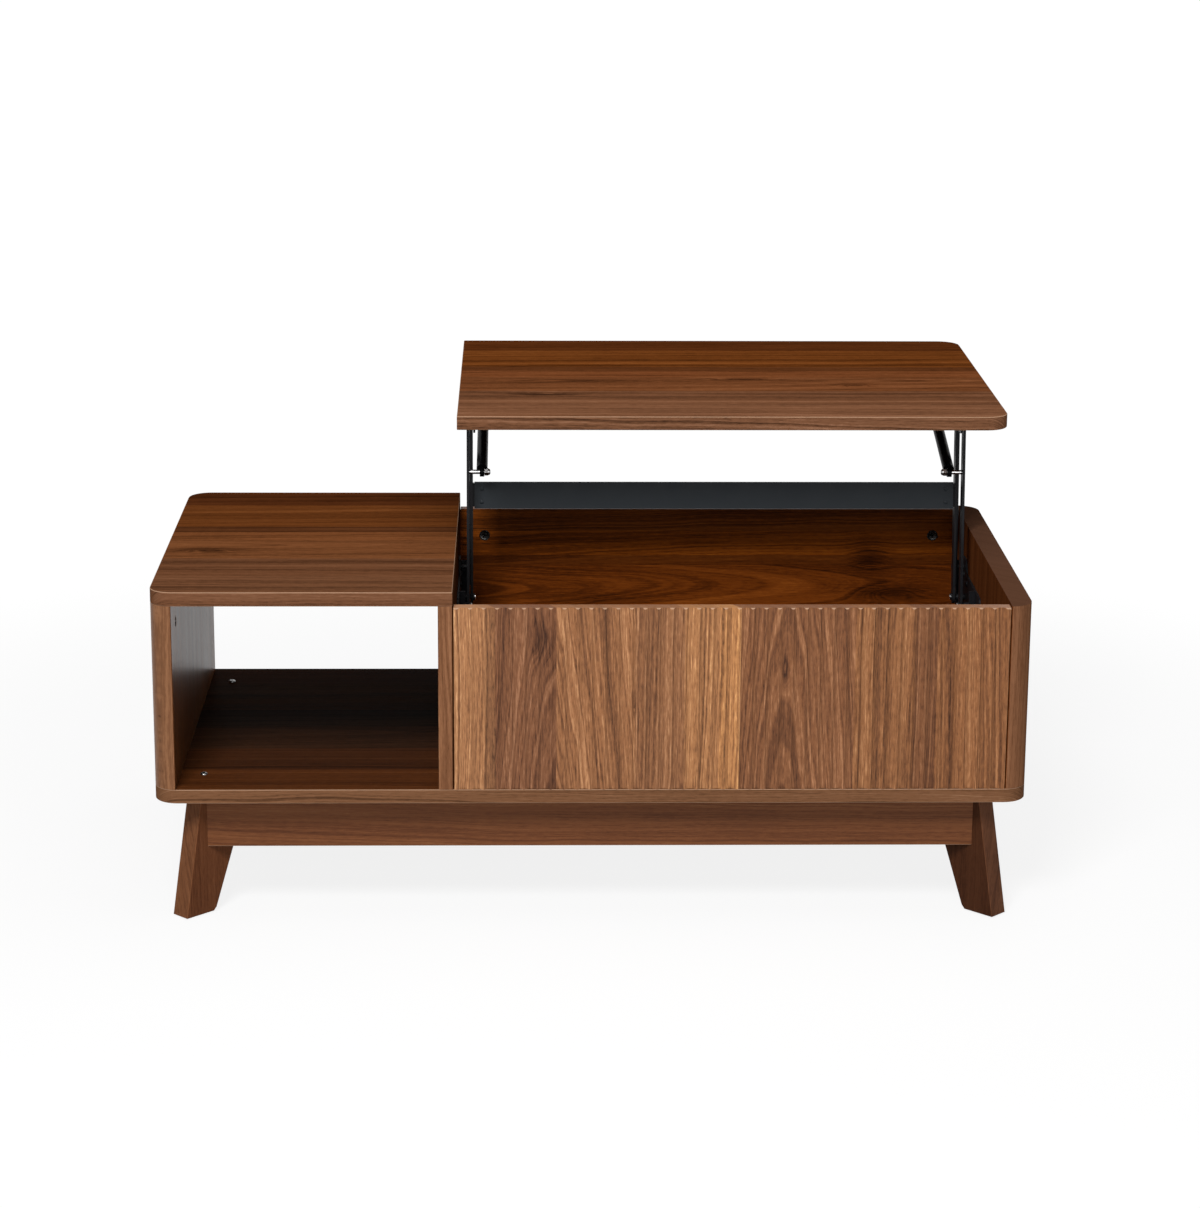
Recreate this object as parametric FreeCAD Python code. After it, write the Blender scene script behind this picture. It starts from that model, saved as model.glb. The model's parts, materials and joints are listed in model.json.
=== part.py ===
"""Lift top coffee table.

A walnut cabinet on four splayed legs: an open cubby on the left, a compartment behind a fluted front on
the right, and over that compartment a top that swings up and back on two parallel-arm linkages helped
by gas springs.

Axes: +X along the table, +Y from the fluted front to the seated side, +Z up. The origin is on the floor,
under the middle of the cabinet. The lift top is modelled raised, resting over centre on its stops. Sizes
are in millimetres.
"""
import FreeCAD
import Part
import math
import os

V = FreeCAD.Vector
X_AXIS = V(1, 0, 0)
Y_AXIS = V(0, 1, 0)
Z_AXIS = V(0, 0, 1)
NEAR = 0.01              # edges this close to a level count as on it
OVERLAP = 1.0            # a cutter or a joined piece runs this far past a face

# ---------------------------------------------------------------- cabinet
LENGTH = 1100.0          # over both side panels
DEPTH = 550.0            # fluted front to seated side
FLOOR_GAP = 162.0        # floor to the underside of the bottom panel
WALL_H = 238.0           # clear height between the bottom panel and the tops
TOP_T = 18.0             # fixed top and lift top
BOTTOM_T = 18.0
SIDE_T = 28.0
PARTITION_T = 18.0
FRONT_T = 18.0
BACK_T = 15.0
CUBBY_W = 330.0          # clear width of the open cubby
CORNER_R = 30.0          # plan radius of the cabinet's four corners
EASE = 0.8               # small bevel along the boards' edges
TOP_SEAM = 1.5           # between the fixed top and the lift top
CLOSED_GAP = 0.5         # between the wall tops and the closed lift top
RIM_DROP = 2.0           # the front and back panels stop this far below the wall tops
FRONT_SIDE_GAP = 1.5     # shadow gap at each end of the fluted panel
BACK_SIDE_GAP = 0.5

# ---------------------------------------------------------------- fluted front
FLUTE_COUNT = 41
FLUTE_DEPTH = 3.0
CREST_W = 2.4            # flat crest between two flutes
END_CREST_W = 4.9        # flat at each end of the panel
CREST_BEVEL = 1.6        # along the top edge, so it only bites the crests

# ---------------------------------------------------------------- legs and aprons
LEG_T = 28.0
LEG_INSET = 26.5         # cabinet's sides to the middle of a leg's outer edge, at the floor
LEG_FOOT = 44.0          # length of the foot, along the diagonal
LEG_FOOT_CUT = 6.0       # chamfer at the foot's inner corner
LEG_LEAN = 29.0          # how far the outer edge leans in on its way up
LEG_HEAD = 83.0          # length of the leg's top, along the diagonal
GLIDE_R = 9.0
GLIDE_T = 2.0
APRON_T = 18.0
APRON_H = 71.0
APRON_INSET = 42.0       # cabinet's faces to the aprons' faces
MITRE_GAP = 0.5          # between an apron's mitred end and the leg
BLOCK_SIZE = 24.0        # three-cornered blocks behind the aprons
BLOCK_L = 70.0
BLOCK_SPACING = 330.0

# ---------------------------------------------------------------- cam locks
CAM_R = 7.5
CAM_H = 12.0
CAM_SINK = 0.3           # a cam lies this far below the board's face
CAM_CLEAR = 0.1
CAM_EDGE = 34.0          # cam's axis to the board that it pulls on
CAM_END = 56.0           # cams under the fixed top, from the cabinet's faces
CAM_LEVEL = 40.0         # cams of the front and back panels, below the walls' top

# ---------------------------------------------------------------- lift linkage
ARM_L = 250.0            # pivot to pivot
ARM_W = 18.0
ARM_T = 3.5
ARM_GAP = 0.6            # between the faces of a front arm and a rear arm
ARM_SPACING = 45.0       # front arm's pivots, ahead of the rear arm's
OPEN_ANGLE = 84.0        # arms above +Y with the top raised: a little past upright
CLOSED_ANGLE = 161.0
REAR_PIVOT_SETBACK = 418.0   # front of the cabinet to the rear arm's lower pivot
PIVOT_DROP = 17.0        # upper pivots below the lift top's underside
REAR_ARM_REACH = 16.0    # compartment wall to the rear arm's outer face
WEB_GAP = 2.0            # between a rear arm and the rail's web
PIN_R = 4.0
PIN_HEAD_R = 5.0         # corner radius, small enough for the other arm to pass when folded
PIN_HEAD_T = 2.0
RUN = 0.06               # radial running clearance of every pin in its hole
SIDE_PLAY = 0.3          # side clearance beside an arm
STEEL_T = 2.5            # brackets and rails

BRACKET_L = 175.0
BRACKET_LEAD = 98.0      # front arm's lower pivot to the bracket's front end
BRACKET_LOW_H = 34.5     # above the pivots, along the front stretch
BRACKET_HIGH_H = 52.0    # above the pivots, at the back end
BRACKET_FOOT = 22.0      # below the pivots
BRACKET_RISE_AT = 32.0   # the step up starts here, behind the front pivot
BRACKET_RISE_L = 13.0
BRACKET_FLANGE_W = 14.0
BRACKET_RIB_W = 10.5     # upright ribs, from the wall
BRACKET_RIB_AT = 58.0    # front rib, ahead of the front pivot
BRACKET_CORNER_R = 8.0
STOP_R = 3.0
STOP_AT = 40.0           # along the raised rear arm

RAIL_LEAD = 49.0         # front upper pivot to the rail's front end
RAIL_L = 340.0
RAIL_H = 24.0
RAIL_FLANGE_W = 24.0
RAIL_CORNER_R = 9.0

PLATE_W = 36.0           # cross plate that makes both sides move together
PLATE_T = 2.0
PLATE_LIP = 6.0
PLATE_AT = 141.0         # its middle, along the rear arm
CLEAT_L = 22.0

GAS_PIN_AT = 182.0       # along the front arm
GAS_PIN_R = 3.0
GAS_NUT_R = 5.2
GAS_NUT_T = 5.0
GAS_REACH = 32.5         # compartment wall to the gas spring's axis
GAS_TAIL = 211.0         # rear upper pivot to the gas spring's upper end
TUBE_R = 7.5
TUBE_L = 150.0
TUBE_START = 8.0         # lower eye's axis to the tube's end
TUBE_FLOOR_T = 10.0
EYE_R = 6.5
EYE_W = 6.0
EYE_NECK_W = 9.0
SOCKET_W = 9.0
PISTON_ROD_R = 3.0
ROD_L = 134.0            # upper socket's axis to the end inside the tube
BALL_CLEAR = 0.3         # the upper end's socket stands this far off its stud

# ---------------------------------------------------------------- places that follow from them
x_left = -LENGTH / 2
x_right = LENGTH / 2
y_front = -DEPTH / 2
y_back = DEPTH / 2
z_under = FLOOR_GAP
z_inside = z_under + BOTTOM_T
z_wall = z_inside + WALL_H
z_top = z_wall + TOP_T

x_cubby = x_left + SIDE_T
x_partition = x_cubby + CUBBY_W
x_room = x_partition + PARTITION_T
x_room_end = x_right - SIDE_T
x_mid = (x_room + x_room_end) / 2
half_room = (x_room_end - x_room) / 2
x_seam = x_room + TOP_SEAM

open_dir = V(0, math.cos(math.radians(OPEN_ANGLE)), math.sin(math.radians(OPEN_ANGLE)))
closed_dir = V(0, math.cos(math.radians(CLOSED_ANGLE)), math.sin(math.radians(CLOSED_ANGLE)))
open_side = V(0, -open_dir.z, open_dir.y)        # towards the fluted front, square to the raised arms
top_travel = (open_dir - closed_dir) * ARM_L     # closed to raised
z_lift = z_wall + CLOSED_GAP + top_travel.z      # underside of the raised lift top

pivot_z = z_wall + CLOSED_GAP - PIVOT_DROP - ARM_L * closed_dir.z
rear_low = V(0, y_front + REAR_PIVOT_SETBACK, pivot_z)
front_low = rear_low - V(0, ARM_SPACING, 0)
rear_high = rear_low + open_dir * ARM_L
front_high = front_low + open_dir * ARM_L
gas_low = front_low + open_dir * GAS_PIN_AT
gas_high = rear_high + V(0, GAS_TAIL, 0)
gas_length = (gas_high - gas_low).Length
gas_dir = (gas_high - gas_low).normalize()

# distances from the middle of the compartment, the same to the left and to the right
u_rear = half_room - REAR_ARM_REACH - ARM_T      # inner face of a rear arm
u_front = u_rear + ARM_T + ARM_GAP
u_web = u_rear - WEB_GAP - STEEL_T                  # inner face of a rail's web
u_gas = half_room - GAS_REACH
u_bracket = half_room - STEEL_T


# ---------------------------------------------------------------- shaping helpers
def block(x0, x1, y0, y1, z0, z1):
    return Part.makeBox(x1 - x0, y1 - y0, z1 - z0, V(x0, y0, z0))


def peg(start, direction, radius, length):
    return Part.makeCylinder(radius, length, start, direction)


def fuse(shapes):
    return shapes[0].multiFuse(shapes[1:]).removeSplitter()


def group(shapes):
    return Part.makeCompound(shapes)


def rim_edges(shape, *levels):
    """Edges that lie flat at one of the given heights."""
    def flat(edge):
        box = edge.BoundBox
        return any(abs(box.ZMin - z) < NEAR and abs(box.ZMax - z) < NEAR for z in levels)
    return [edge for edge in shape.Edges if flat(edge)]


def edges_along(shape, axis, keep=lambda centre: True):
    """Straight edges parallel to an axis, with their middles where keep says."""
    found = []
    for edge in shape.Edges:
        if len(edge.Vertexes) != 2 or not isinstance(edge.Curve, Part.Line):
            continue
        run = edge.Vertexes[1].Point - edge.Vertexes[0].Point
        if run.cross(axis).Length < NEAR * run.Length and keep(edge.CenterOfMass):
            found.append(edge)
    return found


def placed(shape, origin, x_dir, z_dir):
    """A copy of a shape made at the origin, with its X and Z turned to the given directions."""
    turn = FreeCAD.Rotation(x_dir, z_dir.cross(x_dir), z_dir, "ZXY")
    copy = shape.copy()
    copy.Placement = FreeCAD.Placement(origin, turn)
    return copy


def across(side, u0, u1, outline):
    """A plate with its outline in the YZ plane, between two distances from the compartment's middle."""
    start = x_mid + side * u0
    moved = outline.translated(V(start, 0, 0))
    return Part.Face(moved).extrude(V(side * (u1 - u0), 0, 0))


def pin(side, centre, radius, u0, u1):
    start = V(x_mid + side * u0, centre.y, centre.z)
    return peg(start, V(side, 0, 0), radius, u1 - u0)


def stadium(a, b, radius):
    """Outline of a flat bar with round ends about two pivots."""
    run = (b - a).normalize()
    over = V(0, -run.z, run.y) * radius
    end = run * radius
    return Part.Wire([
        Part.makeLine(a + over, b + over),
        Part.Arc(b + over, b + end, b - over).toShape(),
        Part.makeLine(b - over, a - over),
        Part.Arc(a - over, a - end, a + over).toShape(),
    ])


# ---------------------------------------------------------------- cam locks and leg places
def cam_places():
    """Every cam lock: the board that holds it, the middle of its face and the way that face looks."""
    places = []
    for y in (y_front + CAM_END, y_back - CAM_END):
        places.append(("side_panel_left", V(x_cubby, y, z_wall - CAM_EDGE), X_AXIS))
        places.append(("partition", V(x_partition, y, z_wall - CAM_EDGE), -X_AXIS))
    faces = (("front_panel", y_front + FRONT_T, Y_AXIS), ("back_panel", y_back - BACK_T, -Y_AXIS))
    for board, y, out in faces:
        for x in (x_room + CAM_EDGE, x_room_end - CAM_EDGE):
            places.append((board, V(x, y, z_wall - CAM_LEVEL), out))
    return places


def cam_pocket(face, out):
    return peg(face - out * (CAM_H + CAM_SINK + CAM_CLEAR), out, CAM_R + CAM_CLEAR, CAM_H + OVERLAP)


def cam_lock(face, out):
    return peg(face - out * (CAM_H + CAM_SINK), out, CAM_R, CAM_H)


def leg_places():
    """Each leg's foot point at the cabinet's corner and its inward diagonal."""
    places = {}
    for end, sx in (("left", -1), ("right", 1)):
        for face, sy in (("front", -1), ("back", 1)):
            foot = V(sx * (LENGTH / 2 - LEG_INSET), sy * (DEPTH / 2 - LEG_INSET), 0)
            places[f"leg_{face}_{end}"] = (foot, V(-sx, -sy, 0).normalize())
    return places


# ---------------------------------------------------------------- cabinet boards
def case_slab(z0, z1, x0=x_left, x1=x_right):
    """A level slice of the cabinet's round-cornered outline, cut off square at x0 and x1."""
    slab = block(x_left, x_right, y_front, y_back, z0, z1)
    slab = slab.makeFillet(CORNER_R, edges_along(slab, Z_AXIS))
    return slab.common(block(x0, x1, y_front, y_back, z0, z1))


def eased_slab(z0, z1, x0=x_left, x1=x_right):
    slab = case_slab(z0, z1, x0, x1)
    return slab.makeChamfer(EASE, rim_edges(slab, z0, z1))


def side_panel(x0, x1, inner):
    panel = case_slab(z_inside, z_wall, x0, x1)
    return panel.makeChamfer(EASE, edges_along(panel, Z_AXIS, lambda c: abs(c.x - inner) < NEAR))


def upright(x0, x1, y0, y1, z0, z1):
    """A plain board on edge, with its four upright edges eased."""
    board = block(x0, x1, y0, y1, z0, z1)
    return board.makeChamfer(EASE, edges_along(board, Z_AXIS))


def fluted_panel():
    """Vertical flutes: shallow scoops with narrow flat crests between them."""
    x0 = x_room + FRONT_SIDE_GAP
    x1 = x_room_end - FRONT_SIDE_GAP
    y1 = y_front + FRONT_T
    flute_w = (x1 - x0 - 2 * END_CREST_W - (FLUTE_COUNT - 1) * CREST_W) / FLUTE_COUNT
    left = V(x0, y_front, z_inside)
    edges = [Part.makeLine(left, left + V(END_CREST_W, 0, 0))]
    at = left + V(END_CREST_W, 0, 0)
    for i in range(FLUTE_COUNT):
        far = at + V(flute_w, 0, 0)
        edges.append(Part.Arc(at, at + V(flute_w / 2, FLUTE_DEPTH, 0), far).toShape())
        crest = CREST_W if i < FLUTE_COUNT - 1 else END_CREST_W
        edges.append(Part.makeLine(far, far + V(crest, 0, 0)))
        at = far + V(crest, 0, 0)
    edges.append(Part.makeLine(at, V(x1, y1, z_inside)))
    edges.append(Part.makeLine(V(x1, y1, z_inside), V(x0, y1, z_inside)))
    edges.append(Part.makeLine(V(x0, y1, z_inside), left))
    panel = Part.Face(Part.Wire(edges)).extrude(V(0, 0, WALL_H - RIM_DROP))
    rim = V(x0, y_front, z_wall - RIM_DROP)
    corners = [rim, rim + Y_AXIS * CREST_BEVEL, rim - Z_AXIS * CREST_BEVEL, rim]
    return panel.cut(Part.Face(Part.makePolygon(corners)).extrude(X_AXIS * (x1 - x0)))


def cabinet_boards():
    z_rim = z_wall - RIM_DROP
    boards = {
        "bottom_panel": eased_slab(z_under, z_inside),
        "side_panel_left": side_panel(x_left, x_cubby, x_cubby),
        "side_panel_right": side_panel(x_room_end, x_right, x_room_end),
        "partition": upright(x_partition, x_room, y_front, y_back, z_inside, z_wall),
        "fixed_top": eased_slab(z_wall, z_top, x_left, x_room),
        "front_panel": fluted_panel(),
        "back_panel": upright(
            x_room + BACK_SIDE_GAP, x_room_end - BACK_SIDE_GAP, y_back - BACK_T, y_back, z_inside, z_rim
        ),
    }
    for name, face, out in cam_places():
        boards[name] = boards[name].cut(cam_pocket(face, out))
    return boards


# ---------------------------------------------------------------- base
def leg(foot, inward):
    """A tapered board that stands on the corner's diagonal and splays outwards to its foot."""
    outline = Part.makePolygon([
        V(0, 0, GLIDE_T),
        V(LEG_FOOT, 0, GLIDE_T),
        V(LEG_FOOT + LEG_FOOT_CUT, 0, GLIDE_T + LEG_FOOT_CUT),
        V(LEG_LEAN + LEG_HEAD, 0, z_under),
        V(LEG_LEAN, 0, z_under),
        V(0, 0, GLIDE_T),
    ])
    board = Part.Face(outline).extrude(V(0, LEG_T, 0)).translated(V(0, -LEG_T / 2, 0))
    long_edges = [e for e in board.Edges if e.BoundBox.YLength < NEAR and e.BoundBox.ZLength > z_under / 2]
    return placed(board.makeChamfer(EASE, long_edges), foot, inward, Z_AXIS)


def glide(foot, inward):
    """A round plastic glide under the middle of the foot."""
    centre = foot + inward * (LEG_FOOT / 2)
    return peg(centre, Z_AXIS, GLIDE_R, GLIDE_T)


def apron(half_length, half_depth):
    """A rail along -Y between two legs: its ends are mitred to lie along the legs' faces."""
    leg_face = LEG_T / math.sqrt(2) + MITRE_GAP
    outer = half_length - APRON_INSET - leg_face
    inner = outer - APRON_T
    y0 = -(half_depth - APRON_INSET)
    y1 = y0 + APRON_T
    foot = z_under - APRON_H
    corners = [V(-outer, y0, foot), V(outer, y0, foot), V(inner, y1, foot), V(-inner, y1, foot)]
    board = Part.Face(Part.makePolygon(corners + corners[:1])).extrude(V(0, 0, APRON_H))
    return board.makeChamfer(EASE, edges_along(board, X_AXIS, lambda c: c.z < foot + NEAR))


def apron_block(at, inward):
    """A three-cornered block in the angle between an apron's back and the bottom panel."""
    along = Z_AXIS.cross(inward)
    start = at - along * (BLOCK_L / 2)
    corners = [start, start + inward * BLOCK_SIZE, start - Z_AXIS * BLOCK_SIZE]
    return Part.Face(Part.makePolygon(corners + corners[:1])).extrude(along * BLOCK_L)


def apron_blocks():
    blocks = []
    back_of_apron = APRON_INSET + APRON_T
    for sy in (-1, 1):
        for i in (-1, 0, 1):
            at = V(i * BLOCK_SPACING, sy * (DEPTH / 2 - back_of_apron), z_under)
            blocks.append(apron_block(at, V(0, -sy, 0)))
    for sx in (-1, 1):
        at = V(sx * (LENGTH / 2 - back_of_apron), 0, z_under)
        blocks.append(apron_block(at, V(-sx, 0, 0)))
    return group(blocks)


def base_parts():
    parts = {name: leg(foot, inward) for name, (foot, inward) in leg_places().items()}
    parts["leg_glides"] = group([glide(foot, inward) for foot, inward in leg_places().values()])
    front = apron(LENGTH / 2, DEPTH / 2)
    left = apron(DEPTH / 2, LENGTH / 2)
    left.rotate(V(0, 0, 0), Z_AXIS, -90)
    parts["apron_front"] = front
    parts["apron_back"] = front.rotated(V(0, 0, 0), Z_AXIS, 180)
    parts["apron_left"] = left
    parts["apron_right"] = left.rotated(V(0, 0, 0), Z_AXIS, 180)
    parts["apron_blocks"] = apron_blocks()
    return parts


# ---------------------------------------------------------------- lift linkage
def stop_place():
    """Axis of the stop stud, just behind the raised rear arm."""
    return rear_low + open_dir * STOP_AT - open_side * (ARM_W / 2 + STOP_R + RUN)


def wall_strip(side, width, y0, y1, z0, z1):
    """A box that stands out from the compartment's wall."""
    x0, x1 = sorted((x_mid + side * (half_room - width), x_mid + side * half_room))
    return block(x0, x1, y0, y1, z0, z1)


def base_bracket(side):
    """Steel plate on the compartment's wall, with a foot flange, two upright ribs and a high back end."""
    y0 = front_low.y - BRACKET_LEAD
    y1 = y0 + BRACKET_L
    foot = pivot_z - BRACKET_FOOT
    low = pivot_z + BRACKET_LOW_H
    high = pivot_z + BRACKET_HIGH_H
    rise = front_low.y + BRACKET_RISE_AT
    outline = Part.makePolygon([
        V(0, y0, foot), V(0, y1, foot), V(0, y1, high), V(0, rise + BRACKET_RISE_L, high),
        V(0, rise, low), V(0, y0, low), V(0, y0, foot),
    ])
    plate = across(side, u_bracket, half_room, outline)
    plate = plate.makeFillet(BRACKET_CORNER_R, edges_along(plate, X_AXIS, lambda c: c.z > foot + NEAR))
    rib_y = front_low.y - BRACKET_RIB_AT
    flange = wall_strip(side, BRACKET_FLANGE_W, y0, y1, foot, foot + STEEL_T)
    front_rib = wall_strip(side, BRACKET_RIB_W, rib_y, rib_y + STEEL_T, foot, low)
    back_rib = wall_strip(side, BRACKET_RIB_W, y1 - STEEL_T, y1, foot, high - BRACKET_CORNER_R)
    return fuse([plate, flange, front_rib, back_rib])


def low_pivots(side):
    """Shoulder pins on the bracket, each with its head inside its arm, and the raised arm's stop stud."""
    pins = []
    for centre, u_arm in ((rear_low, u_rear), (front_low, u_front)):
        head_end = u_arm - SIDE_PLAY
        pins.append(fuse([
            hexagon(side, centre, PIN_HEAD_R, head_end - PIN_HEAD_T, head_end),
            pin(side, centre, PIN_R, head_end - OVERLAP, u_bracket),
        ]))
    return pins + [hexagon(side, stop_place(), STOP_R, u_rear, u_bracket)]


def arm(side, low, high, u_arm, extra=()):
    bar = across(side, u_arm, u_arm + ARM_T, stadium(low, high, ARM_W / 2))
    holes = [pin(side, at, PIN_R + RUN, u_arm - OVERLAP, u_arm + ARM_T + OVERLAP) for at in (low, high)]
    holes += [pin(side, at, radius, u_arm - OVERLAP, u_arm + ARM_T + OVERLAP) for at, radius in extra]
    return bar.cut(holes)


def rear_arm(side):
    return arm(side, rear_low, rear_high, u_rear)


def front_arm(side):
    return arm(side, front_low, front_high, u_front, [(gas_low, GAS_PIN_R + RUN)])


def tilted_box(u0, u1, along0, along1, out0, out1, side=1):
    """A box in the raised rear arm's own directions: along the arm, and out towards the fluted front."""
    corners = [(along0, out0), (along1, out0), (along1, out1), (along0, out1), (along0, out0)]
    outline = Part.makePolygon([rear_low + open_dir * a + open_side * o for a, o in corners])
    return across(side, u0, u1, outline)


def cross_plate():
    """Thin lipped plate between the two rear arms."""
    half = u_rear - PLATE_T - SIDE_PLAY
    face = ARM_W / 2
    low = PLATE_AT - PLATE_W / 2
    high = PLATE_AT + PLATE_W / 2
    web = tilted_box(-half, half, low, high, face - PLATE_T, face)
    lip_low = tilted_box(-half, half, low, low + PLATE_T, face - PLATE_LIP, face)
    lip_high = tilted_box(-half, half, high - PLATE_T, high, face - PLATE_LIP, face)
    return fuse([web, lip_low, lip_high])


def cleat(side):
    """Small angle that carries one end of the cross plate on its arm."""
    face = ARM_W / 2 - PLATE_T
    reach = (PLATE_W - 2 * PLATE_T) / 2 - SIDE_PLAY
    low = PLATE_AT - reach
    high = PLATE_AT + reach
    on_plate = tilted_box(u_rear - CLEAT_L, u_rear, low, high, face - PLATE_T, face, side)
    on_arm = tilted_box(u_rear - PLATE_T, u_rear, low, high, -face, face, side)
    return fuse([on_plate, on_arm])


def hexagon(side, centre, radius, u0, u1):
    points = []
    for i in range(7):
        turn = math.radians(60 * i)
        points.append(centre + V(0, math.cos(turn), math.sin(turn)) * radius)
    return across(side, u0, u1, Part.makePolygon(points))


def gas_pin(side):
    """Shoulder pin on the front arm that carries the gas spring's lower eye, with its cap nut."""
    eye_in = u_gas - EYE_W / 2 - SIDE_PLAY
    return fuse([
        pin(side, gas_low, GAS_PIN_R, eye_in - OVERLAP, u_front + ARM_T),
        hexagon(side, gas_low, GAS_NUT_R, eye_in - GAS_NUT_T, eye_in),
    ])


def on_gas_axis(side, shape):
    """Lays a shape made along local X, with its eye's axis along local Z, on the gas spring's axis."""
    origin = V(x_mid + side * u_gas, gas_low.y, gas_low.z)
    return placed(shape, origin, gas_dir, X_AXIS)


def gas_tube(side):
    """Pressure tube with the flat eye on the gas pin."""
    body = fuse([
        peg(V(TUBE_START, 0, 0), X_AXIS, TUBE_R, TUBE_L),
        peg(V(0, 0, -EYE_W / 2), Z_AXIS, EYE_R, EYE_W),
        Part.makeBox(TUBE_START + OVERLAP, EYE_NECK_W, EYE_W, V(0, -EYE_NECK_W / 2, -EYE_W / 2)),
    ])
    hole = peg(V(0, 0, -EYE_W), Z_AXIS, GAS_PIN_R + RUN, 2 * EYE_W)
    bore = peg(V(TUBE_START + TUBE_FLOOR_T, 0, 0), X_AXIS, PISTON_ROD_R + RUN, TUBE_L)
    return on_gas_axis(side, body.cut([hole, bore]))


def gas_rod(side):
    """Piston rod with the closed socket of its upper ball joint."""
    body = fuse([
        peg(V(gas_length - ROD_L, 0, 0), X_AXIS, PISTON_ROD_R, ROD_L),
        peg(V(gas_length, 0, -SOCKET_W / 2), Z_AXIS, EYE_R, SOCKET_W),
    ])
    return on_gas_axis(side, body)


def gas_stud(side):
    """Short stud on the rail's web; the gas spring's upper socket runs just off its end."""
    return pin(side, gas_high, GAS_PIN_R, u_gas + SOCKET_W / 2 + BALL_CLEAR, u_web)


# ---------------------------------------------------------------- lift top
def top_rail(side):
    """Steel angle under the lift top: the web takes the pivots, the flange is screwed to the board."""
    y0 = front_high.y - RAIL_LEAD
    y1 = y0 + RAIL_L
    foot = z_lift - RAIL_H
    corners = [V(0, y0, foot), V(0, y1, foot), V(0, y1, z_lift), V(0, y0, z_lift)]
    outline = Part.makePolygon(corners + corners[:1])
    web = across(side, u_web, u_web + STEEL_T, outline)
    web = web.makeFillet(RAIL_CORNER_R, edges_along(web, X_AXIS, lambda c: c.z < foot + NEAR))
    outer = x_mid + side * (u_web + STEEL_T)
    x0, x1 = sorted((outer - side * RAIL_FLANGE_W, outer))
    flange = block(x0, x1, y0, y1, z_lift - STEEL_T, z_lift)
    return fuse([web, flange])


def high_pivots(side):
    """Shoulder pins on the rail's web, with their heads outside the arms, and the gas spring's stud."""
    pins = []
    for centre, u_arm in ((rear_high, u_rear), (front_high, u_front)):
        head_start = u_arm + ARM_T + SIDE_PLAY
        pins.append(fuse([
            pin(side, centre, PIN_R, u_web + STEEL_T, head_start + OVERLAP),
            hexagon(side, centre, PIN_HEAD_R, head_start, head_start + PIN_HEAD_T),
        ]))
    return pins + [gas_stud(side)]


def lift_top():
    return eased_slab(z_wall, z_top, x_seam, x_right).translated(V(0, top_travel.y, z_lift - z_wall))


def both(make):
    """A node that holds the left and the right copies of some small pieces."""
    shapes = []
    for side in (-1, 1):
        made = make(side)
        shapes += made if isinstance(made, list) else [made]
    return group(shapes)


def linkage_parts():
    parts = {"lift_top": lift_top(), "cross_plate": cross_plate()}
    for name, side in (("left", -1), ("right", 1)):
        parts[f"base_bracket_{name}"] = base_bracket(side)
        parts[f"rear_arm_{name}"] = rear_arm(side)
        parts[f"front_arm_{name}"] = front_arm(side)
        parts[f"gas_pin_{name}"] = gas_pin(side)
        parts[f"gas_tube_{name}"] = gas_tube(side)
        parts[f"gas_rod_{name}"] = gas_rod(side)
        parts[f"top_rail_{name}"] = top_rail(side)
    parts["plate_cleats"] = both(cleat)
    parts["low_pivots"] = both(low_pivots)
    parts["high_pivots"] = both(high_pivots)
    return parts


# ---------------------------------------------------------------- the table
def table_parts():
    parts = cabinet_boards()
    parts["cam_locks"] = group([cam_lock(face, out) for name, face, out in cam_places()])
    parts.update(base_parts())
    parts.update(linkage_parts())
    return parts


os.makedirs("parts", exist_ok=True)
for node, shape in table_parts().items():
    shape.exportStep(f"parts/{node}.step")
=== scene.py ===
# %% [markdown]
# # A lift top coffee table in walnut
# The table's boards, legs and linkage arrive as a finished frame of separate pieces, each already in its place. This
# lesson gives every piece its finish, adds the small fasteners, and sets up the floor, the lights and the camera. All
# lengths are in metres, +X along the table, +Y from the fluted front to the seated side, +Z up.

# %% Load the frame
import json
import math

import bmesh
import bpy
from mathutils import Matrix, Quaternion, Vector


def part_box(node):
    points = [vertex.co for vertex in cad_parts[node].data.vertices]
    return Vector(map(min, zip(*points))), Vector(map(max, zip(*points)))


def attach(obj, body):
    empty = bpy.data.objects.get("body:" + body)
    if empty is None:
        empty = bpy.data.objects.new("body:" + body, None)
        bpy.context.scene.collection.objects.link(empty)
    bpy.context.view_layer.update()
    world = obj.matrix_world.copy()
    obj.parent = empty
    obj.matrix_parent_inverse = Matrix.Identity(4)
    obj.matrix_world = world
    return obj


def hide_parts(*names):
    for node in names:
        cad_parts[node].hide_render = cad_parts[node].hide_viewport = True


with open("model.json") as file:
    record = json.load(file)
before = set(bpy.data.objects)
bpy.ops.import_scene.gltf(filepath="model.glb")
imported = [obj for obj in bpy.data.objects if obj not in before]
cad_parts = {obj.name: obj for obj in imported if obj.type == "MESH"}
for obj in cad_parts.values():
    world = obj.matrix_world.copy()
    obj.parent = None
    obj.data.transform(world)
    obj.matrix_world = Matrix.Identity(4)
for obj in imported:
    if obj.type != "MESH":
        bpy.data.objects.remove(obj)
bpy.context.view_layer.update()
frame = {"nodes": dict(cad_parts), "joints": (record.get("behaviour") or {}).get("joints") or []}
nodes = frame["nodes"]
print("pieces in the frame:", len(nodes))

# %% [markdown]
# ## Shader maths as plain expressions
# A wood grain is mostly arithmetic on positions: stretch, bend, add a few layers of noise. Wiring Math nodes by hand
# hides that, so a small class wraps one socket and turns +, -, * and / into Math nodes. The other way is to group
# the nodes in the editor, which is quicker to draw and slower to change.

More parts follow.
